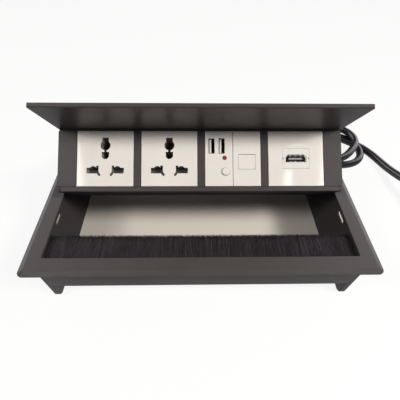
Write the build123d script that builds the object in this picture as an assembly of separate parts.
from build123d import *
import math
import os

# Flip-up desk power hub, standing on its two side plates with the lid open.
# X runs to the right, Y to the back and Z up from the table. The origin is the centre of the top
# frame's footprint, on the table. All lengths are millimetres and all angles are degrees.
# The lid group is modelled closed and is then swung open about the hinge pins.

# Top frame
SIDE_RIM = 13.5
FRAME_D = 158.5
FLANGE_T = 2.5
SEAT_STEP = 0.3
SEAT_GAP = 0.2
BEVEL_W = 3.6
BEVEL_H = 1.5
FRAME_CORNER_R = 4.0
FRONT_RIM = 13.4
REAR_RIM = 13.4
OPENING_CORNER_R = 1.2

# Side plates and skirts
SIDE_OVERHANG = 8.0
FRONT_OVERHANG = 7.5
SIDE_T = 3.5
SIDE_FOOT_R = 6.0
FRONT_SKIRT_H = 31.2
REAR_SKIRT_H = 24.0
SKIRT_T = 2.5
SKIRT_TAB = 8.4
SCREW_R = 1.5
SCREW_HEAD_R = 2.9
SCREW_EDGE = 7.0
SIDE_SLOT_L = 12.6
SIDE_SLOT_H = 3.9
SIDE_SLOT_BACK = 55.6
SIDE_SLOT_DROP = 9.0
SIDE_WEB = 1.2
SIDE_POCKET_L = 20.0
SIDE_POCKET_H = 12.0
SIDE_POCKET_DROP = 10.0

# Brush
BRUSH_TIP_BACK = 34.4
BRUSH_T = 2.4
BRUSH_DROP = 4.0
BRUSH_GRIP = 2.0
BRUSH_END_GAP = 0.4
HOLDER_W = 2.6
HOLDER_H = 5.6
TUFTS = 112
TUFT_NOTCH = 1.3
TUFT_SPLIT = 0.02
TUFT_WAVES = ((0.45, 2.3, 0.0), (0.35, 5.1, 1.0))

# Hinge and lid
HINGE_FORE = 20.0
HINGE_DROP = 6.0
OPEN_ANGLE = 53.85
PIN_R = 2.0
PIN_FIT = 0.05
PIN_HEAD_R = 3.2
PIN_HEAD_T = 1.4
WASHER_R = 3.2
RUN_GAP = 0.3
CLIP_R = 2.4
CLIP_T = 0.8
LID_GAP = 1.0
LID_T = 3.3
LID_FRONT_BACK = 33.3
LID_TAIL = 5.6
LID_CORNER_R = 1.2
LID_EDGE_R = 1.0
LID_TAIL_R = 3.0

# Socket housing under the lid
HOUSING_FORE = 22.1
HOUSING_D = 36.0
TABLE_GAP = 0.6
CHANNEL_WALL = 1.6
TOP_LIP = 1.25
BAY_GAP = 0.3
RAIL_H = 4.05
RAIL_PROUD = 0.5
RAIL_R = 0.7
PORT_R = 2.9
PORT_BORE_R = 1.3
PORT_INSET = 0.6
CAP_T = 3.0
CAP_SCREW_L = 12.0
EYE_R = 6.0
CAP_FOOT_R = 2.0
END_BLANK = 15.2
TONGUE_END_GAP = 1.0

# Socket modules, 45 mm square or half as wide
MODULE = 45.0
MODULE_GAP = 6.2
MODULES = 4
MODULE_PROUD = 0.5
FACE_T = 2.6
FACE_EDGE_R = 0.5
FACE_FOOT_LAP = 1.0
SEAM = 0.4
HALF_SEAM = 0.3

# Universal socket
BOSS_D = 4.6
BOSS_INSET = 3.5
BOSS_CORNER_R = 3.0
EARTH_NOTCH_W = 5.2
EARTH_TOP = 16.9
EARTH_HOLE_R = 4.0
EARTH_HOLE_Z = 10.6
EARTH_NECK_W = 1.9
EARTH_SLOT_W = 5.8
EARTH_SLOT_TOP = 5.3
EARTH_SLOT_LOW = 2.4
BLADE_IN = 5.2
BLADE_OUT = 14.8
BLADE_TOP = -7.6
BLADE_LOW = -12.1
ROUND_PIN_X = 9.6
ROUND_PIN_Z = -9.3
ROUND_PIN_R = 3.05
FLAT_SLOT_W = 2.0
FLAT_SLOT_TOP = -5.8
SLANT_W = 2.0
SLANT_L = 5.6
SLANT_X = 5.75
SLANT_Z = -11.7
SLANT_ANGLE = 36.0
SOCKET_BODY_INSET = 0.5
SOCKET_BODY_CORNER_R = 2.0
SOCKET_BODY_D = 19.5
SHUTTER_SPACE = 1.8
SHUTTER_T = 1.2
SHUTTER_STEM_W = 1.4
SHUTTER_STEM_X = 2.9
SHUTTER_STEM_TOP = 2.6
SHUTTER_REACH = 0.4
SHUTTER_BRIDGE_H = 3.4
GUIDE_GAP = 0.2
SHUTTER_TRAVEL = 7.4
CAVITY_D = 15.0
CONTACT_T = 0.8
CONTACT_L = 11.0

# USB module
USB_W = 4.9
USB_H = 12.4
USB_X = (-5.9, 2.3)
USB_Z = 10.2
USB_SHELL_T = 0.35
USB_SHELL_D = 12.0
TONGUE_T = 1.5
TONGUE_H = 10.9
TONGUE_INSET = 0.8
TONGUE_RECESS = 1.4
LED_X = 4.6
LED_Z = 0.4
LED_R = 1.25
LED_RING_R = 1.75
BUTTON_X = 5.6
BUTTON_Z = -10.6
BUTTON_R = 3.3
BUTTON_GAP = 0.12
BUTTON_PROUD = 1.1
BUTTON_RIM = 0.7
BUTTON_TRAVEL = 0.8
BOARD_T = 1.6
SWITCH_SIZE = 6.0
SWITCH_D = 3.5
HALF_BODY_SIDE = 0.275
HALF_BODY_END = 2.0
SHELL_WALL = 1.0

# Network module
JACK_W = 14.0
JACK_H = 12.4
JACK_Z = -2.7
FLAP_GAP = 0.18
FLAP_T = 1.6
TRUNNION_R = 0.45
TRUNNION_L = 1.2
JACK_CAVITY_D = 14.0
JACK_WALL = 2.0
CONTACT_GROOVE = 1.4
JACK_CONTACTS = 8
JACK_CONTACT_PITCH = 1.02
JACK_CONTACT_W = 0.4

# Video module
INSERT_W = 21.6
INSERT_H = 16.4
INSERT_GAP = 0.12
INSERT_CORNER_R = 0.8
INSERT_NOTCH = 1.3
VIDEO_W = 16.1
VIDEO_H = 5.5
VIDEO_TOP_W = 12.4
VIDEO_CHAMFER_H = 2.2
VIDEO_SHELL_T = 0.5
VIDEO_D = 12.0
VIDEO_TONGUE_W = 11.0
VIDEO_TONGUE_T = 1.3
VIDEO_BODY_W = 26.0
VIDEO_BODY_H = 18.0

# Cord, its gland and its plug
CORD_R = 4.25
BEND_SHARE = 0.45
FIRST_RUN = 12.0
GLAND_X = 45.0
GLAND_DROP = 20.0
GLAND_R = 8.0
GLAND_TIP_R = 5.6
GLAND_L = 26.0
GLAND_GROOVES = 4
GLAND_GROOVE_W = 1.6
GLAND_GROOVE_PITCH = 4.4
GLAND_GROOVE_R = 5.0
GLAND_FLANGE_R = 11.0
GLAND_FLANGE_T = 2.5
GLAND_THREAD_R = 7.0
GLAND_NUT_T = 3.5
WIRE_R = 1.15
WIRE_PITCH = 2.6
WIRE_CLEAR = 3.6
HANK_Z = 17.0
HANK_BAND = 17.5
PLUG_R = 18.0
PLUG_BODY_L = 26.0
PLUG_NECK_L = 24.0
PLUG_NECK_R = 7.5
PLUG_FLARE_L = 6.0
PLUG_EDGE = 2.0
PLUG_EDGE_L = 4.0
PLUG_GROOVES = 4
PLUG_GROOVE_W = 2.0
PLUG_GROOVE_DEEP = 1.2
PLUG_GROOVE_PITCH = 5.0
PLUG_PIN_R = 2.4
PLUG_PIN_L = 19.0
PLUG_PIN_PITCH = 19.0
PLUG_CLIP_W = 6.0
PLUG_CLIP_T = 0.8
PLUG_CLIP_L = 20.0

# Sizes worked out from the ones above
MODULE_PITCH = MODULE + MODULE_GAP
MODULE_BAY_H = MODULE + BAY_GAP
LID_W = (MODULES - 1) * MODULE_PITCH + MODULE + 2 * END_BLANK
OPENING_W = LID_W + 2 * LID_GAP
FRAME_W = OPENING_W + 2 * SIDE_RIM
STAND_H = LID_T + TOP_LIP + MODULE_BAY_H + RAIL_H + TABLE_GAP
FRONT_Y = -FRAME_D / 2
TOP_Z = STAND_H
UNDER_FLANGE = TOP_Z - FLANGE_T
BODY_TOP = UNDER_FLANGE + SEAT_STEP
OPENING_D = FRAME_D - FRONT_RIM - REAR_RIM
OPENING_Y = (FRONT_RIM - REAR_RIM) / 2
BODY_FRONT = FRONT_Y + FRONT_OVERHANG
BODY_BACK = -BODY_FRONT
SIDE_OUT = FRAME_W / 2 - SIDE_OVERHANG
SIDE_IN = SIDE_OUT - SIDE_T
HINGE_Y = -FRONT_Y - HINGE_FORE
HINGE_Z = TOP_Z - HINGE_DROP
LID_FRONT = FRONT_Y + LID_FRONT_BACK
LID_UNDER = TOP_Z - LID_T
REAR_WALL = HINGE_Y - HOUSING_FORE
PANEL_Y = REAR_WALL - HOUSING_D
BAY_TOP = LID_UNDER - TOP_LIP
BAY_LOW = BAY_TOP - MODULE_BAY_H
HOUSING_LOW = BAY_LOW - RAIL_H
MODULE_Z = (BAY_TOP + BAY_LOW) / 2
FACE_Y = PANEL_Y - MODULE_PROUD
FACE_BACK = FACE_Y + FACE_T
CAP_OUT = LID_W / 2
CHANNEL_END = CAP_OUT - CAP_T
MODULE_X = [(index - (MODULES - 1) / 2) * MODULE_PITCH for index in range(MODULES)]
HALF_W = (MODULE - HALF_SEAM) / 2
SOCKET_BODY_W = MODULE - 2 * SOCKET_BODY_INSET
HALF_BODY_W = HALF_W - 2 * HALF_BODY_SIDE
HALF_BODY_H = MODULE - 2 * HALF_BODY_END
HALF_SHIFT = (HALF_W + HALF_SEAM) / 2
USB_CENTRE = MODULE_X[2] - HALF_SHIFT
JACK_CENTRE = MODULE_X[2] + HALF_SHIFT
VIDEO_CENTRE = MODULE_X[3]
BOARD_Y = FACE_BACK + USB_SHELL_D
GLAND_Z = LID_UNDER - GLAND_DROP
HINGE = Axis((0, HINGE_Y, HINGE_Z), (1, 0, 0))


def block(x0, x1, y0, y1, z0, z1):
    """Rectangular block between two opposite corners."""
    centre = Pos((x0 + x1) / 2, (y0 + y1) / 2, (z0 + z1) / 2)
    return centre * Box(x1 - x0, y1 - y0, z1 - z0)


def from_front(sketch, y0, depth):
    """Pushes a sketch in the XZ plane towards the back, from y0 over the given depth."""
    return extrude(Plane.XZ.offset(-y0) * sketch, amount=-depth)


def from_side(sketch, x0, length):
    """Pushes a sketch in the YZ plane to the right, from x0 over the given length."""
    return extrude(Plane.YZ.offset(x0) * sketch, amount=length)


def rod_x(x0, x1, y, z, radius):
    """Round rod along X."""
    return from_side(Pos(y, z) * Circle(radius), x0, x1 - x0)


def rod_y(x, y0, y1, z, radius):
    """Round rod along Y."""
    return from_front(Pos(x, z) * Circle(radius), y0, y1 - y0)


def swing_open(solid):
    """Turns a piece of the closed lid group to the open position."""
    return solid.rotate(HINGE, -OPEN_ANGLE)


# Standing body

def make_top_frame():
    """Flange with a bevelled rim. A shallow step underneath locates the side plates and skirts."""
    lower = Plane.XY.offset(UNDER_FLANGE) * RectangleRounded(FRAME_W, FRAME_D, FRAME_CORNER_R)
    edge = extrude(lower, amount=FLANGE_T - BEVEL_H)
    bevel_foot = Plane.XY.offset(TOP_Z - BEVEL_H) * RectangleRounded(FRAME_W, FRAME_D, FRAME_CORNER_R)
    bevel_top = Plane.XY.offset(TOP_Z) * RectangleRounded(
        FRAME_W - 2 * BEVEL_W, FRAME_D - 2 * BEVEL_W, FRAME_CORNER_R / 2)
    bevel = loft([bevel_foot, bevel_top])
    window = Plane.XY.offset(UNDER_FLANGE) * (
        Pos(0, OPENING_Y) * RectangleRounded(OPENING_W, OPENING_D, OPENING_CORNER_R))
    frame = edge + bevel - extrude(window, amount=FLANGE_T)
    half_w = SIDE_OUT + SEAT_GAP
    half_d = BODY_BACK + SEAT_GAP
    return frame - block(-half_w, half_w, -half_d, half_d, UNDER_FLANGE, BODY_TOP)


def screw_places():
    """Y and Z of the screws that hold the folded skirt ends to each side plate."""
    reach = SKIRT_T + (SKIRT_TAB - SKIRT_T) / 2
    places = []
    for skirt_y, height in ((BODY_FRONT + reach, FRONT_SKIRT_H), (BODY_BACK - reach, REAR_SKIRT_H)):
        places.append((skirt_y, UNDER_FLANGE - SCREW_EDGE))
        places.append((skirt_y, UNDER_FLANGE - height + SCREW_EDGE))
    return places


def screw_solid(y, z):
    """One countersunk screw in the right side plate, its head flush with the outside."""
    head_depth = SCREW_HEAD_R - SCREW_R
    shank = rod_x(SIDE_IN - SKIRT_T, SIDE_OUT, y, z, SCREW_R)
    cone = Pos(SIDE_OUT - head_depth / 2, y, z) * Rot(0, 90, 0) * Cone(SCREW_R, SCREW_HEAD_R, head_depth)
    return shank + cone


def make_side_plate():
    """Right side plate, thinned from outside round its slot; the left one is its mirror image."""
    depth = BODY_BACK - BODY_FRONT
    outline = Pos(0, BODY_TOP / 2) * Rectangle(depth, BODY_TOP)
    feet = outline.vertices().group_by(Axis.Y)[0]
    outline = fillet(feet, SIDE_FOOT_R)
    slot = Pos(FRONT_Y + SIDE_SLOT_BACK, TOP_Z - SIDE_SLOT_DROP) * SlotOverall(SIDE_SLOT_L, SIDE_SLOT_H)
    pin_hole = Pos(HINGE_Y, HINGE_Z) * Circle(PIN_R)
    plate = from_side(outline - slot - pin_hole, SIDE_IN, SIDE_T)
    plate -= rod_x(SIDE_OUT - PIN_HEAD_T, SIDE_OUT, HINGE_Y, HINGE_Z, PIN_HEAD_R)
    pocket = Pos(FRONT_Y + SIDE_SLOT_BACK, TOP_Z - SIDE_POCKET_DROP) * SlotOverall(
        SIDE_POCKET_L, SIDE_POCKET_H)
    plate -= from_side(pocket, SIDE_IN + SIDE_WEB, SIDE_T - SIDE_WEB)
    for y, z in screw_places():
        plate -= screw_solid(y, z)
    return plate


def make_skirt(y_outer, inwards, height):
    """Folded sheet skirt across the body, with a tab at each end that lies on a side plate."""
    outer = Polyline((-SIDE_IN, y_outer + inwards * SKIRT_TAB), (-SIDE_IN, y_outer),
                     (SIDE_IN, y_outer), (SIDE_IN, y_outer + inwards * SKIRT_TAB))
    inner_x = SIDE_IN - SKIRT_T
    inner_y = y_outer + inwards * SKIRT_T
    inner = Polyline((SIDE_IN, y_outer + inwards * SKIRT_TAB), (inner_x, y_outer + inwards * SKIRT_TAB),
                     (inner_x, inner_y), (-inner_x, inner_y),
                     (-inner_x, y_outer + inwards * SKIRT_TAB), (-SIDE_IN, y_outer + inwards * SKIRT_TAB))
    sheet = Plane.XY.offset(UNDER_FLANGE - height) * make_face([*outer.edges(), *inner.edges()])
    skirt = extrude(sheet, amount=height + SEAT_STEP, dir=(0, 0, 1))
    for y, z in screw_places():
        if (y - y_outer) * inwards > 0 and abs(y - y_outer) < SKIRT_TAB:
            skirt -= rod_x(-SIDE_IN, -inner_x, y, z, SCREW_R)
            skirt -= rod_x(inner_x, SIDE_IN, y, z, SCREW_R)
    return skirt


def make_screws():
    screws = [screw_solid(y, z) for y, z in screw_places()]
    mirrored = [mirror(screw, Plane.YZ) for screw in screws]
    return Compound([*screws, *mirrored])


# Brush along the front edge of the opening

BRUSH_HALF = SIDE_IN - SKIRT_T - BRUSH_END_GAP
HOLDER_FRONT = BODY_FRONT + SKIRT_T
HOLDER_BACK = HOLDER_FRONT + HOLDER_W
BRUSH_ROOT = HOLDER_BACK - BRUSH_GRIP
BRUSH_TOP = TOP_Z - BRUSH_DROP
BRUSH_LOW = BRUSH_TOP - BRUSH_T


def make_brush_holder():
    rail = block(-BRUSH_HALF, BRUSH_HALF, HOLDER_FRONT, HOLDER_BACK, UNDER_FLANGE - HOLDER_H, BODY_TOP)
    return rail - block(-BRUSH_HALF, BRUSH_HALF, BRUSH_ROOT, HOLDER_BACK, BRUSH_LOW, BRUSH_TOP)


def make_bristles():
    """Flat pile of bristles with a notched edge, uneven by two waves of a height, a rate and a start."""
    tip_y = FRONT_Y + BRUSH_TIP_BACK
    pitch = 2 * BRUSH_HALF / TUFTS
    edge = [(-BRUSH_HALF, BRUSH_ROOT)]
    for tuft in range(TUFTS):
        left = -BRUSH_HALF + tuft * pitch
        uneven = sum(height * math.sin(rate * tuft + start) for height, rate, start in TUFT_WAVES)
        edge.append((left + TUFT_SPLIT * pitch, tip_y - TUFT_NOTCH))
        edge.append((left + pitch / 2, tip_y + uneven))
    edge.append((BRUSH_HALF, tip_y - TUFT_NOTCH))
    edge.append((BRUSH_HALF, BRUSH_ROOT))
    outline = make_face(Polyline(*edge, close=True))
    return extrude(Plane.XY.offset(BRUSH_LOW) * outline, amount=BRUSH_T)


# Hinge pins, on the right; the left ones are mirrored

def make_hinge_pin():
    """Headed pin, its head flush with the side plate so that the body drops into a cut-out."""
    inner_end = CHANNEL_END - RUN_GAP - 2 * CLIP_T
    shank = rod_x(inner_end, SIDE_OUT, HINGE_Y, HINGE_Z, PIN_R)
    return shank + rod_x(SIDE_OUT - PIN_HEAD_T, SIDE_OUT, HINGE_Y, HINGE_Z, PIN_HEAD_R)


def make_hinge_washer():
    disc = rod_x(CAP_OUT + RUN_GAP, SIDE_IN, HINGE_Y, HINGE_Z, WASHER_R)
    return disc - rod_x(CAP_OUT, SIDE_IN, HINGE_Y, HINGE_Z, PIN_R)


def make_hinge_clip():
    clip_right = CHANNEL_END - RUN_GAP
    disc = rod_x(clip_right - CLIP_T, clip_right, HINGE_Y, HINGE_Z, CLIP_R)
    return disc - rod_x(clip_right - CLIP_T, clip_right, HINGE_Y, HINGE_Z, PIN_R)


# Lid and socket housing, closed

def make_lid():
    """Lid plate: its side profile rounds the front edge and the tail, and its outline the corners."""
    depth = HINGE_Y + LID_TAIL - LID_FRONT
    middle_y = LID_FRONT + depth / 2
    profile = Pos(middle_y, (LID_UNDER + TOP_Z) / 2) * Rectangle(depth, LID_T)
    profile = fillet(profile.vertices().group_by(Axis.X)[0], LID_EDGE_R)
    profile = fillet(profile.vertices().group_by(Axis.X)[-1].sort_by(Axis.Y)[-1], LID_TAIL_R)
    outline = Pos(0, middle_y) * RectangleRounded(LID_W, depth, LID_CORNER_R)
    plate = from_side(profile, -LID_W / 2, LID_W)
    return plate & extrude(Plane.XY.offset(LID_UNDER) * outline, amount=LID_T)


def make_channel():
    """Extruded housing: roof, rear wall, floor and the front rail that the modules stand on."""
    outer = Polyline((PANEL_Y, BAY_TOP), (PANEL_Y, LID_UNDER), (REAR_WALL, LID_UNDER),
                     (REAR_WALL, HOUSING_LOW), (PANEL_Y - RAIL_PROUD, HOUSING_LOW),
                     (PANEL_Y - RAIL_PROUD, BAY_LOW), (PANEL_Y + CHANNEL_WALL, BAY_LOW),
                     (PANEL_Y + CHANNEL_WALL, HOUSING_LOW + CHANNEL_WALL),
                     (REAR_WALL - CHANNEL_WALL, HOUSING_LOW + CHANNEL_WALL),
                     (REAR_WALL - CHANNEL_WALL, BAY_TOP), close=True)
    profile = Sketch() + make_face(outer)
    rail_corners = profile.vertices().group_by(Axis.X)[0]
    profile = fillet(rail_corners, RAIL_R)
    heels = profile.vertices().group_by(Axis.X)[-1].sort_by(Axis.Y)[0]
    profile = fillet(heels, CAP_FOOT_R)
    for y, z in port_places():
        profile += Pos(y, z) * Circle(PORT_R)
    for y, z in port_places():
        profile -= Pos(y, z) * Circle(PORT_BORE_R)
    channel = from_side(profile, -CHANNEL_END, 2 * CHANNEL_END)
    return channel - rod_y(GLAND_X, REAR_WALL - CHANNEL_WALL, REAR_WALL, GLAND_Z, GLAND_THREAD_R)


def port_places():
    """Y and Z of the two screw ports that run along the rear corners of the channel."""
    inset = PORT_INSET + PORT_R
    return [(REAR_WALL - inset, LID_UNDER - inset), (REAR_WALL - inset, HOUSING_LOW + inset)]


def make_end_cap():
    """Right end cap with the hinge eye; the left one is its mirror image."""
    cap_front = PANEL_Y + CHANNEL_WALL
    width = REAR_WALL - cap_front
    height = LID_UNDER - HOUSING_LOW
    cheek = Pos(cap_front + width / 2, HOUSING_LOW + height / 2) * Rectangle(width, height)
    cheek = fillet(cheek.vertices().group_by(Axis.Y)[0], CAP_FOOT_R)
    root = Pos(REAR_WALL - width / 4, LID_UNDER - height / 4) * Rectangle(width / 2, height / 2)
    eye = Pos(HINGE_Y, HINGE_Z) * Circle(EYE_R)
    arm = make_hull([*root.edges(), *eye.edges()])
    sky = Pos(HINGE_Y, LID_UNDER + height / 2) * Rectangle(3 * HOUSING_D, height)
    outline = cheek + (arm - sky)
    outline -= Pos(HINGE_Y, HINGE_Z) * Circle(PIN_R + PIN_FIT)
    cap = from_side(outline, CHANNEL_END, CAP_T)
    for y, z in port_places():
        cap -= cap_screw(y, z)
    return cap


def cap_screw(y, z):
    """Countersunk screw through the right end cap into a port of the channel."""
    head_depth = SCREW_HEAD_R - PORT_BORE_R
    shank = rod_x(CAP_OUT - CAP_SCREW_L, CAP_OUT, y, z, PORT_BORE_R)
    cone = Pos(CAP_OUT - head_depth / 2, y, z) * Rot(0, 90, 0) * Cone(
        PORT_BORE_R, SCREW_HEAD_R, head_depth)
    return shank + cone


def make_cap_screws():
    screws = [cap_screw(y, z) for y, z in port_places()]
    mirrored = [mirror(screw, Plane.YZ) for screw in screws]
    return Compound([*screws, *mirrored])


def filler(x0, x1):
    """Blanking strip between the roof lip and the rail, with a tongue behind the rail."""
    gap = BAY_GAP / 2
    strip = block(x0, x1, PANEL_Y, PANEL_Y + CHANNEL_WALL, BAY_LOW + gap, BAY_TOP - gap)
    tongue_low = HOUSING_LOW + CHANNEL_WALL
    tongue = block(x0 + TONGUE_END_GAP, x1 - TONGUE_END_GAP, PANEL_Y + CHANNEL_WALL,
                   PANEL_Y + 2 * CHANNEL_WALL, tongue_low, BAY_TOP)
    return strip + tongue


def make_end_filler():
    """Right end filler, which also covers the front edge of the end cap."""
    inner = MODULE_X[-1] + MODULE / 2 + SEAM
    gap = BAY_GAP / 2
    cover = block(CHANNEL_END, CAP_OUT, PANEL_Y, PANEL_Y + CHANNEL_WALL, BAY_LOW + gap, BAY_TOP - gap)
    return filler(inner, CHANNEL_END) + cover


def make_spacers():
    spacers = []
    for left, right in zip(MODULE_X[:-1], MODULE_X[1:]):
        spacers.append(filler(left + MODULE / 2 + SEAM, right - MODULE / 2 - SEAM))
    return Compound(spacers)


# Modules

def module_face(centre_x, width):
    """Front plate of a module with softened front edges and a foot that hooks behind the rail."""
    plate = from_front(Pos(centre_x, MODULE_Z) * Rectangle(width, MODULE), FACE_Y, FACE_T)
    rim = plate.faces().sort_by(Axis.Y)[0].edges()
    plate = fillet(rim, FACE_EDGE_R)
    foot_w = width / 3
    foot_low = HOUSING_LOW + CHANNEL_WALL
    foot_top = MODULE_Z - MODULE / 2 + FACE_FOOT_LAP
    foot = block(centre_x - foot_w / 2, centre_x + foot_w / 2,
                 PANEL_Y + CHANNEL_WALL, FACE_BACK + CHANNEL_WALL, foot_low, foot_top)
    return plate + foot


def earth_sketch():
    """Keyhole outline of the earth opening, about the centre of the module."""
    notch = Pos(0, (EARTH_TOP + EARTH_HOLE_Z) / 2) * Rectangle(EARTH_NOTCH_W, EARTH_TOP - EARTH_HOLE_Z)
    hole = Pos(0, EARTH_HOLE_Z) * Circle(EARTH_HOLE_R)
    neck_h = EARTH_HOLE_Z - EARTH_SLOT_LOW
    neck = Pos(0, EARTH_SLOT_LOW + neck_h / 2) * Rectangle(EARTH_NECK_W, neck_h)
    slot_h = EARTH_SLOT_TOP - EARTH_SLOT_LOW
    slot = Pos(0, EARTH_SLOT_LOW + slot_h / 2) * Rectangle(EARTH_SLOT_W, slot_h)
    slot_end = Pos(0, EARTH_SLOT_LOW) * Circle(EARTH_SLOT_W / 2)
    return Sketch() + notch + hole + neck + slot + slot_end


def blade_sketch():
    """Opening for a live or neutral pin of any common kind, on the right of the centre line."""
    flat = Pos((BLADE_IN + BLADE_OUT) / 2, (BLADE_TOP + BLADE_LOW) / 2) * Rectangle(
        BLADE_OUT - BLADE_IN, BLADE_TOP - BLADE_LOW)
    round_pin = Pos(ROUND_PIN_X, ROUND_PIN_Z) * Circle(ROUND_PIN_R)
    round_pin -= Pos(ROUND_PIN_X, BLADE_LOW - ROUND_PIN_R) * Rectangle(4 * ROUND_PIN_R, 2 * ROUND_PIN_R)
    upright = Pos(BLADE_IN + FLAT_SLOT_W / 2, (FLAT_SLOT_TOP + BLADE_LOW) / 2) * Rectangle(
        FLAT_SLOT_W, FLAT_SLOT_TOP - BLADE_LOW)
    slant = Pos(SLANT_X, SLANT_Z) * Rot(0, 0, 90 - SLANT_ANGLE) * SlotOverall(SLANT_L, SLANT_W)
    return Sketch() + flat + round_pin + upright + slant


def socket_openings():
    right = blade_sketch()
    return Sketch() + earth_sketch() + right + mirror(right, Plane.YZ)


def make_socket_face(centre_x):
    face = module_face(centre_x, MODULE)
    boss_size = MODULE - 2 * BOSS_INSET
    boss_outline = Pos(centre_x, MODULE_Z) * RectangleRounded(boss_size, boss_size, BOSS_CORNER_R)
    boss = from_front(boss_outline, FACE_BACK, BOSS_D)
    openings = Pos(centre_x, MODULE_Z) * socket_openings()
    return face + boss - from_front(openings, FACE_Y, FACE_T + BOSS_D)


SHUTTER_FRONT = FACE_BACK + BOSS_D
SOCKET_BODY_FRONT = SHUTTER_FRONT + SHUTTER_SPACE
SHUTTER_TOP = FLAT_SLOT_TOP + SHUTTER_REACH
SHUTTER_LOW = SHUTTER_TOP - SHUTTER_TRAVEL


def shutter_sketch(gap):
    """Two blades behind the pin openings, a bridge between them and a stem beside the earth slot."""
    blade_h = SHUTTER_TOP - SHUTTER_LOW
    blade_half = (BLADE_OUT - BLADE_IN) / 2 + SHUTTER_REACH
    blade_z = (SHUTTER_TOP + SHUTTER_LOW) / 2
    shape = Sketch()
    for side in (-1, 1):
        place = Pos(side * (BLADE_IN + BLADE_OUT) / 2, blade_z)
        shape += place * Rectangle(2 * (blade_half + gap), blade_h + 2 * gap)
    bridge_w = 2 * BLADE_IN
    shape += Pos(0, SHUTTER_LOW + SHUTTER_BRIDGE_H / 2) * Rectangle(bridge_w, SHUTTER_BRIDGE_H + 2 * gap)
    stem_h = SHUTTER_STEM_TOP - SHUTTER_LOW
    shape += Pos(SHUTTER_STEM_X, SHUTTER_LOW + stem_h / 2) * Rectangle(
        SHUTTER_STEM_W + 2 * gap, stem_h + 2 * gap)
    return shape


def make_shutter(centre_x):
    y0 = SHUTTER_FRONT + (SHUTTER_SPACE - SHUTTER_T) / 2
    return from_front(Pos(centre_x, MODULE_Z) * shutter_sketch(0), y0, SHUTTER_T)


def make_socket_body(centre_x):
    """Insulating body with a frame round the shutter's travel and a cavity for each contact."""
    depth = SOCKET_BODY_D
    outline = RectangleRounded(SOCKET_BODY_W, SOCKET_BODY_W, SOCKET_BODY_CORNER_R)
    body = from_front(Pos(centre_x, MODULE_Z) * outline, SHUTTER_FRONT, depth)
    middle = Pos(centre_x, MODULE_Z - SHUTTER_TRAVEL / 2)
    room_w = 2 * (BLADE_OUT + SHUTTER_REACH + GUIDE_GAP)
    room_h = 2 * SHUTTER_TRAVEL + 2 * GUIDE_GAP
    room = middle * Pos(0, SHUTTER_TOP - SHUTTER_TRAVEL / 2) * Rectangle(room_w, room_h)
    room += Pos(centre_x, MODULE_Z) * shutter_sketch(GUIDE_GAP)
    body -= from_front(room, SHUTTER_FRONT, SHUTTER_SPACE)
    openings = Pos(centre_x, MODULE_Z) * socket_openings()
    return body - from_front(openings, SHUTTER_FRONT, SHUTTER_SPACE + CAVITY_D)


def make_contacts(centre_x):
    """Brass strips along the cavity walls: one for earth and one for each live pin."""
    y1 = SOCKET_BODY_FRONT + CAVITY_D
    y0 = y1 - CONTACT_L
    top = MODULE_Z + EARTH_TOP
    low = MODULE_Z + BLADE_TOP
    half_notch = EARTH_NOTCH_W / 2
    earth = block(centre_x - half_notch, centre_x + half_notch, y0, y1, top - CONTACT_T, top)
    live = []
    for side in (-1, 1):
        inner = centre_x + side * BLADE_OUT
        outer = inner - side * CONTACT_T
        live.append(block(min(inner, outer), max(inner, outer), y0, y1,
                          MODULE_Z + BLADE_LOW, low))
    return Compound([earth, *live])


def usb_openings():
    openings = Sketch()
    for x in USB_X:
        openings += Pos(USB_CENTRE + x, MODULE_Z + USB_Z) * Rectangle(USB_W, USB_H)
    return openings


def make_usb_face():
    face = module_face(USB_CENTRE, HALF_W)
    holes = usb_openings()
    holes += Pos(USB_CENTRE + LED_X, MODULE_Z + LED_Z) * Circle(LED_RING_R)
    holes += Pos(USB_CENTRE + BUTTON_X, MODULE_Z + BUTTON_Z) * Circle(BUTTON_R + BUTTON_GAP)
    return face - from_front(holes, FACE_Y, FACE_T)


def make_usb_shells():
    """Two metal shells behind the face, round each opening."""
    shells = []
    for x in USB_X:
        place = Pos(USB_CENTRE + x, MODULE_Z + USB_Z)
        wall = place * Rectangle(USB_W + 2 * USB_SHELL_T, USB_H + 2 * USB_SHELL_T)
        shells.append(from_front(wall - place * Rectangle(USB_W, USB_H), FACE_BACK, USB_SHELL_D))
    return Compound(shells)


def make_usb_tongues():
    tongues = []
    y0 = FACE_Y + TONGUE_RECESS
    for x in USB_X:
        left = USB_CENTRE + x - USB_W / 2 + TONGUE_INSET
        z = MODULE_Z + USB_Z
        tongues.append(block(left, left + TONGUE_T, y0, BOARD_Y, z - TONGUE_H / 2, z + TONGUE_H / 2))
    return Compound(tongues)


def make_led():
    x = USB_CENTRE + LED_X
    z = MODULE_Z + LED_Z
    pipe = rod_y(x, FACE_Y + FACE_EDGE_R, BOARD_Y, z, LED_R)
    return pipe + Pos(x, FACE_Y + FACE_EDGE_R, z) * Sphere(LED_R)


def make_led_ring():
    x = USB_CENTRE + LED_X
    z = MODULE_Z + LED_Z
    ring = Pos(x, z) * (Circle(LED_RING_R) - Circle(LED_R))
    return from_front(ring, FACE_Y, FACE_T)


def make_usb_button():
    """Push button with a rim that keeps it behind the face and a stem above the switch."""
    x = USB_CENTRE + BUTTON_X
    z = MODULE_Z + BUTTON_Z
    cap = rod_y(x, FACE_Y - BUTTON_PROUD, FACE_BACK + RUN_GAP, z, BUTTON_R)
    cap = chamfer(cap.faces().sort_by(Axis.Y)[0].edges(), BUTTON_PROUD / 3)
    rim_y = FACE_BACK + RUN_GAP
    rim = rod_y(x, rim_y, rim_y + BUTTON_RIM, z, BUTTON_R + BUTTON_RIM)
    stem_end = BOARD_Y - SWITCH_D - BUTTON_TRAVEL - BUTTON_GAP
    return cap + rim + rod_y(x, rim_y, stem_end, z, BUTTON_R / 2)


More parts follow.
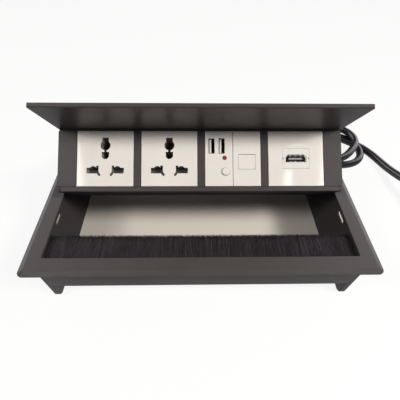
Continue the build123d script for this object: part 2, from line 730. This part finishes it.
def make_usb_switch():
    x = USB_CENTRE + BUTTON_X
    z = MODULE_Z + BUTTON_Z
    half = SWITCH_SIZE / 2
    return block(x - half, x + half, BOARD_Y - SWITCH_D, BOARD_Y, z - half, z + half)


def make_usb_board():
    half_w = HALF_BODY_W / 2 - SHELL_WALL
    half_h = HALF_BODY_H / 2 - SHELL_WALL
    return block(USB_CENTRE - half_w, USB_CENTRE + half_w, BOARD_Y, BOARD_Y + BOARD_T,
                 MODULE_Z - half_h, MODULE_Z + half_h)


def make_usb_body():
    """Open-fronted box behind the USB face, closed at the back by a floor that carries the board."""
    depth = USB_SHELL_D + BOARD_T + SHELL_WALL
    box = from_front(Pos(USB_CENTRE, MODULE_Z) * Rectangle(HALF_BODY_W, HALF_BODY_H), FACE_BACK, depth)
    room = Pos(USB_CENTRE, MODULE_Z) * Rectangle(
        HALF_BODY_W - 2 * SHELL_WALL, HALF_BODY_H - 2 * SHELL_WALL)
    return box - from_front(room, FACE_BACK, depth - SHELL_WALL)


FLAP_W = JACK_W - 2 * FLAP_GAP
FLAP_H = JACK_H - 2 * FLAP_GAP
FLAP_AXIS_Y = FACE_Y + FLAP_T / 2
FLAP_AXIS_Z = MODULE_Z + JACK_Z + FLAP_H / 2 - FLAP_T / 2


def make_network_face():
    face = module_face(JACK_CENTRE, HALF_W)
    hole = Pos(JACK_CENTRE, MODULE_Z + JACK_Z) * Rectangle(JACK_W, JACK_H)
    face -= from_front(hole, FACE_Y, FACE_T)
    reach = JACK_W / 2 + TRUNNION_L
    return face - rod_x(JACK_CENTRE - reach, JACK_CENTRE + reach, FLAP_AXIS_Y, FLAP_AXIS_Z,
                        TRUNNION_R + PIN_FIT)


def make_network_flap():
    """Dust flap that swings inwards about two small trunnions at its top edge."""
    low = MODULE_Z + JACK_Z - FLAP_H / 2
    profile = Pos(FLAP_AXIS_Y, (low + FLAP_AXIS_Z) / 2) * Rectangle(FLAP_T, FLAP_AXIS_Z - low)
    profile += Pos(FLAP_AXIS_Y, FLAP_AXIS_Z) * Circle(FLAP_T / 2)
    flap = from_side(profile, JACK_CENTRE - FLAP_W / 2, FLAP_W)
    reach = JACK_W / 2 + TRUNNION_L - FLAP_GAP
    return flap + rod_x(JACK_CENTRE - reach, JACK_CENTRE + reach, FLAP_AXIS_Y, FLAP_AXIS_Z, TRUNNION_R)


def make_network_jack():
    """Jack body with the plug cavity and a groove in its floor for the contact wires."""
    depth = JACK_CAVITY_D + JACK_WALL
    place = Pos(JACK_CENTRE, MODULE_Z + JACK_Z)
    outer_h = JACK_H + 2 * JACK_WALL + 2 * CONTACT_GROOVE
    body = from_front(place * Rectangle(JACK_W + 2 * JACK_WALL, outer_h), FACE_BACK, depth)
    body -= from_front(place * Rectangle(JACK_W, JACK_H), FACE_BACK, JACK_CAVITY_D)
    half = JACK_CONTACTS * JACK_CONTACT_PITCH / 2
    floor = MODULE_Z + JACK_Z - JACK_H / 2
    return body - block(JACK_CENTRE - half, JACK_CENTRE + half, FACE_BACK + JACK_WALL,
                        FACE_BACK + JACK_CAVITY_D, floor - CONTACT_GROOVE, floor)


def make_network_contacts():
    wires = []
    floor = MODULE_Z + JACK_Z - JACK_H / 2
    for index in range(JACK_CONTACTS):
        x = JACK_CENTRE + (index - (JACK_CONTACTS - 1) / 2) * JACK_CONTACT_PITCH
        half = JACK_CONTACT_W / 2
        wires.append(block(x - half, x + half, FACE_BACK + JACK_WALL, FACE_BACK + JACK_CAVITY_D,
                           floor - CONTACT_GROOVE, floor - CONTACT_GROOVE + JACK_CONTACT_W))
    return Compound(wires)


def video_sketch(grow):
    """Connector opening: wide below and drawn in by a sloped shoulder above."""
    half = VIDEO_W / 2 + grow
    half_top = VIDEO_TOP_W / 2 + grow
    low = -VIDEO_H / 2 - grow
    top = VIDEO_H / 2 + grow
    shoulder = top - VIDEO_CHAMFER_H
    outline = Polyline((-half, low), (half, low), (half, shoulder), (half_top, top),
                       (-half_top, top), (-half, shoulder), close=True)
    return Sketch() + make_face(outline)


def make_video_face():
    face = module_face(VIDEO_CENTRE, MODULE)
    window = Pos(VIDEO_CENTRE, MODULE_Z) * RectangleRounded(
        INSERT_W + 2 * INSERT_GAP, INSERT_H + 2 * INSERT_GAP, INSERT_CORNER_R)
    return face - from_front(window, FACE_Y, FACE_T)


def make_video_insert():
    """Clip-in plate round the connector, with a pry notch at each side."""
    place = Pos(VIDEO_CENTRE, MODULE_Z)
    plate = place * RectangleRounded(INSERT_W, INSERT_H, INSERT_CORNER_R)
    for side in (-1, 1):
        plate -= place * Pos(side * INSERT_W / 2, 0) * Rectangle(INSERT_NOTCH, INSERT_NOTCH)
    plate -= place * video_sketch(VIDEO_SHELL_T)
    return from_front(plate, FACE_Y, FACE_T)


def make_video_shell():
    place = Pos(VIDEO_CENTRE, MODULE_Z)
    wall = video_sketch(VIDEO_SHELL_T) - video_sketch(0)
    return from_front(place * wall, FACE_Y + FACE_EDGE_R, VIDEO_D)


def make_video_tongue():
    y0 = FACE_Y + TONGUE_RECESS
    y1 = FACE_Y + FACE_EDGE_R + VIDEO_D
    half = VIDEO_TONGUE_W / 2
    z = MODULE_Z + VIDEO_TONGUE_T / 2
    return block(VIDEO_CENTRE - half, VIDEO_CENTRE + half, y0, y1, z - VIDEO_TONGUE_T, z)


def make_video_body():
    """Coupler block behind the insert, hollowed for the shell."""
    y1 = FACE_Y + FACE_EDGE_R + VIDEO_D
    place = Pos(VIDEO_CENTRE, MODULE_Z)
    sleeve = from_front(place * Rectangle(VIDEO_BODY_W, VIDEO_BODY_H), FACE_BACK, y1 - FACE_BACK)
    sleeve -= from_front(place * video_sketch(VIDEO_SHELL_T), FACE_BACK, y1 - FACE_BACK)
    back = from_front(place * Rectangle(VIDEO_BODY_W, VIDEO_BODY_H), y1, VIDEO_BODY_H / 2)
    return sleeve + back


# Mains inlet

def make_gland():
    """Strain relief screwed through the rear wall: flange, threaded neck and a grooved, tapered boot."""
    flange = rod_y(GLAND_X, REAR_WALL, REAR_WALL + GLAND_FLANGE_T, GLAND_Z, GLAND_FLANGE_R)
    middle = Pos(GLAND_X, REAR_WALL + GLAND_L / 2, GLAND_Z) * Rot(-90, 0, 0)
    boot = middle * Cone(GLAND_R, GLAND_TIP_R, GLAND_L)
    tip = REAR_WALL + GLAND_L
    for groove in range(1, GLAND_GROOVES + 1):
        y = tip - groove * GLAND_GROOVE_PITCH
        ring = rod_y(GLAND_X, y, y + GLAND_GROOVE_W, GLAND_Z, GLAND_FLANGE_R)
        boot -= ring - rod_y(GLAND_X, y, y + GLAND_GROOVE_W, GLAND_Z, GLAND_GROOVE_R)
    inner_end = REAR_WALL - CHANNEL_WALL - GLAND_NUT_T
    neck = rod_y(GLAND_X, inner_end, REAR_WALL, GLAND_Z, GLAND_THREAD_R)
    return flange + boot + neck - rod_y(GLAND_X, inner_end, tip, GLAND_Z, CORD_R)


def make_gland_nut():
    inner = REAR_WALL - CHANNEL_WALL
    hexagon = Pos(GLAND_X, GLAND_Z) * (RegularPolygon(GLAND_FLANGE_R, 6) - Circle(GLAND_THREAD_R))
    return from_front(hexagon, inner - GLAND_NUT_T, GLAND_NUT_T)


WIRE_Y = FACE_BACK + JACK_CAVITY_D + JACK_WALL + WIRE_CLEAR + WIRE_R


def make_sheath():
    """End of the cord's sheath, from the mouth of the gland to the cores inside the housing."""
    return rod_y(GLAND_X, WIRE_Y + WIRE_R, REAR_WALL + GLAND_L, GLAND_Z, CORD_R)


def make_supply_wires():
    """Three cores from the sheath to the nearer socket, side by side."""
    body_side = MODULE_X[1] + SOCKET_BODY_W / 2
    wires = []
    for index in (-1, 0, 1):
        z = GLAND_Z + index * WIRE_PITCH
        wires.append(rod_x(body_side, GLAND_X + CORD_R, WIRE_Y, z, WIRE_R))
    return Compound(wires)


def make_link_wires():
    """Three cores that carry on from one socket to the next."""
    left = MODULE_X[0] + SOCKET_BODY_W / 2
    right = MODULE_X[1] - SOCKET_BODY_W / 2
    wires = [rod_x(left, right, WIRE_Y, GLAND_Z + index * WIRE_PITCH, WIRE_R) for index in (-1, 0, 1)]
    return Compound(wires)


def make_usb_wires():
    """Two cores that feed the charger board from the nearer socket."""
    left = MODULE_X[1] + SOCKET_BODY_W / 2
    right = USB_CENTRE - HALF_BODY_W / 2
    wires = []
    for index in (-1, 1):
        wires.append(rod_x(left, right, BOARD_Y - WIRE_R, MODULE_Z + index * WIRE_PITCH, WIRE_R))
    return Compound(wires)


# Free cord on the table

def lid_point(x, y, z):
    """A point of the closed lid group, swung open."""
    turn = math.radians(-OPEN_ANGLE)
    dy = y - HINGE_Y
    dz = z - HINGE_Z
    return (x, HINGE_Y + dy * math.cos(turn) - dz * math.sin(turn),
            HINGE_Z + dy * math.sin(turn) + dz * math.cos(turn))


CORD_LEAD = [lid_point(GLAND_X, REAR_WALL + GLAND_L, GLAND_Z),
             lid_point(GLAND_X, REAR_WALL + GLAND_L + FIRST_RUN, GLAND_Z),
             (46.0, 62.5, 17.6), (49.0, 75.0, 9.0), (54.5, 90.0, 4.25), (62.5, 105.0, 4.25)]
CORD_TAIL = [(198.0, 121.0, 4.25), (207.0, 109.0, 4.25), (214.5, 95.0, 4.25), (219.5, 79.0, 5.2),
             (222.8, 63.0, 9.5), (226.0, 47.0, 15.0), (229.5, 33.0, PLUG_R), (233.0, 20.5, PLUG_R)]


def tube_radii(points):
    """Bend radius at each inner point: as large as the shorter of its two runs allows."""
    vectors = [Vector(*point) for point in points]
    radii = []
    for before, here, after in zip(vectors[:-2], vectors[1:-1], vectors[2:]):
        run_in = here - before
        run_out = after - here
        half_turn = math.radians(run_in.get_angle(run_out) / 2)
        radii.append(BEND_SHARE * min(run_in.length, run_out.length) / math.tan(half_turn))
    return radii


def make_cord(name, points):
    radii = tube_radii(points)
    path = FilletPolyline(*points, radius=radii)
    start = Plane(path @ 0, z_dir=path % 0)
    tube = sweep(start * Circle(CORD_R), path=path)
    print(name, "radii", [round(radius, 1) for radius in radii], "length", round(path.length, 1),
          "volume", round(tube.volume), "section by length", round(math.pi * CORD_R ** 2 * path.length))
    return tube


def hank_ring(left, right, radius, low, high):
    """Racetrack band between two end centres, of the width that two turns side by side take."""
    span = math.hypot(right[0] - left[0], right[1] - left[1])
    angle = math.degrees(math.atan2(right[1] - left[1], right[0] - left[0]))
    middle = Pos((left[0] + right[0]) / 2, (left[1] + right[1]) / 2) * Rot(0, 0, angle)
    outer = SlotCenterToCenter(span, 2 * radius + HANK_BAND)
    inner = SlotCenterToCenter(span, 2 * radius - HANK_BAND)
    return extrude(Plane.XY.offset(low) * (middle * (outer - inner)), amount=high - low)


HANK_LEFT = (98.0, 110.0)
HANK_RIGHT_LOW = (166.0, 108.0)
HANK_RIGHT_TOP = (172.0, 133.0)
HANK_BEND_R = 27.0


def make_hank():
    """Outer shape of the loosely coiled cord: its upper turns fan out to the back at the right."""
    lower = hank_ring(HANK_LEFT, HANK_RIGHT_LOW, HANK_BEND_R, 0, HANK_Z)
    upper = hank_ring(HANK_LEFT, HANK_RIGHT_TOP, HANK_BEND_R, 0, HANK_Z)
    return lower + upper


PLUG_DIRECTION = Vector(*CORD_TAIL[-1]) - Vector(*CORD_TAIL[-2])
PLUG_DIRECTION = Vector(PLUG_DIRECTION.X, PLUG_DIRECTION.Y, 0).normalized()
PLUG_PLANE = Plane(CORD_TAIL[-1], x_dir=PLUG_DIRECTION.cross(Vector(0, 0, 1)), z_dir=PLUG_DIRECTION)


def make_plug_body():
    """Moulded plug lying on its side: a ribbed neck that widens to a round head."""
    flare_z = PLUG_NECK_L + PLUG_FLARE_L
    profile = Polyline((0, 0), (PLUG_NECK_R, 0), (PLUG_NECK_R, PLUG_NECK_L), (PLUG_R - PLUG_EDGE, flare_z),
                       (PLUG_R, flare_z + PLUG_EDGE_L), (PLUG_R, PLUG_NECK_L + PLUG_BODY_L),
                       (0, PLUG_NECK_L + PLUG_BODY_L), close=True)
    body = revolve(Plane.XZ * make_face(profile), Axis.Z)
    on_base = (Align.CENTER, Align.CENTER, Align.MIN)
    groove = Cylinder(PLUG_NECK_R, PLUG_GROOVE_W, align=on_base)
    groove -= Cylinder(PLUG_NECK_R - PLUG_GROOVE_DEEP, PLUG_GROOVE_W, align=on_base)
    for step in range(PLUG_GROOVES):
        body -= Pos(0, 0, PLUG_GROOVE_PITCH * (step + 1) - PLUG_GROOVE_W / 2) * groove
    for clip in plug_clip_solids():
        body -= clip
    return PLUG_PLANE * body


def plug_clip_solids():
    """Earth strips let into two opposite sides of the plug, in the plug's own frame."""
    middle_z = PLUG_NECK_L + PLUG_BODY_L - PLUG_CLIP_L / 2
    middle_y = PLUG_R - PLUG_CLIP_T
    return [Pos(0, side * middle_y, middle_z) * Box(PLUG_CLIP_W, PLUG_CLIP_T, PLUG_CLIP_L) for side in (-1, 1)]


def make_plug_clips():
    return Compound([PLUG_PLANE * clip for clip in plug_clip_solids()])


def make_plug_pins():
    pins = []
    for side in (-1, 1):
        pin = Cylinder(PLUG_PIN_R, PLUG_PIN_L, align=(Align.CENTER, Align.CENTER, Align.MIN))
        pin = chamfer(pin.faces().sort_by(Axis.Z)[-1].edges(), PLUG_PIN_R / 2)
        place = Pos(side * PLUG_PIN_PITCH / 2, 0, PLUG_NECK_L + PLUG_BODY_L)
        pins.append(PLUG_PLANE * place * pin)
    return Compound(pins)


def mirrored(solid):
    return mirror(solid, Plane.YZ)


def standing_parts():
    """Pieces of the standing body, by name."""
    side = make_side_plate()
    pin = make_hinge_pin()
    washer = make_hinge_washer()
    clip = make_hinge_clip()
    return {
        "top_frame": make_top_frame(),
        "side_plate_right": side,
        "side_plate_left": mirrored(side),
        "front_skirt": make_skirt(BODY_FRONT, 1, FRONT_SKIRT_H),
        "rear_skirt": make_skirt(BODY_BACK, -1, REAR_SKIRT_H),
        "skirt_screws": make_screws(),
        "brush_holder": make_brush_holder(),
        "brush_bristles": make_bristles(),
        "hinge_pin_right": pin,
        "hinge_pin_left": mirrored(pin),
        "hinge_washer_right": washer,
        "hinge_washer_left": mirrored(washer),
        "hinge_clip_right": clip,
        "hinge_clip_left": mirrored(clip),
        "cord_lead": make_cord("cord_lead", CORD_LEAD),
        "cord_hank": make_hank(),
        "cord_tail": make_cord("cord_tail", CORD_TAIL),
        "plug_body": make_plug_body(),
        "plug_pins": make_plug_pins(),
        "plug_earth_clips": make_plug_clips(),
    }


def lid_parts():
    """Pieces that swing with the lid, by name, in the closed position."""
    cap = make_end_cap()
    end_filler = make_end_filler()
    parts = {
        "lid_plate": make_lid(),
        "housing_channel": make_channel(),
        "end_cap_right": cap,
        "end_cap_left": mirrored(cap),
        "cap_screws": make_cap_screws(),
        "end_filler_right": end_filler,
        "end_filler_left": mirrored(end_filler),
        "module_spacers": make_spacers(),
        "usb_face": make_usb_face(),
        "usb_body": make_usb_body(),
        "usb_board": make_usb_board(),
        "usb_shells": make_usb_shells(),
        "usb_tongues": make_usb_tongues(),
        "usb_led": make_led(),
        "usb_led_ring": make_led_ring(),
        "usb_button": make_usb_button(),
        "usb_switch": make_usb_switch(),
        "network_face": make_network_face(),
        "network_flap": make_network_flap(),
        "network_jack": make_network_jack(),
        "network_contacts": make_network_contacts(),
        "video_face": make_video_face(),
        "video_insert": make_video_insert(),
        "video_shell": make_video_shell(),
        "video_tongue": make_video_tongue(),
        "video_body": make_video_body(),
        "cord_gland": make_gland(),
        "gland_nut": make_gland_nut(),
        "cord_sheath": make_sheath(),
        "supply_wires": make_supply_wires(),
        "link_wires": make_link_wires(),
        "usb_wires": make_usb_wires(),
    }
    for number in (1, 2):
        centre_x = MODULE_X[number - 1]
        parts[f"socket_face_{number}"] = make_socket_face(centre_x)
        parts[f"socket_body_{number}"] = make_socket_body(centre_x)
        parts[f"socket_shutter_{number}"] = make_shutter(centre_x)
        parts[f"socket_contacts_{number}"] = make_contacts(centre_x)
    return parts


def main():
    os.makedirs("parts", exist_ok=True)
    for name, solid in standing_parts().items():
        export_step(solid, f"parts/{name}.step")
    for name, solid in lid_parts().items():
        export_step(swing_open(solid), f"parts/{name}.step")


if __name__ == "__main__":
    main()
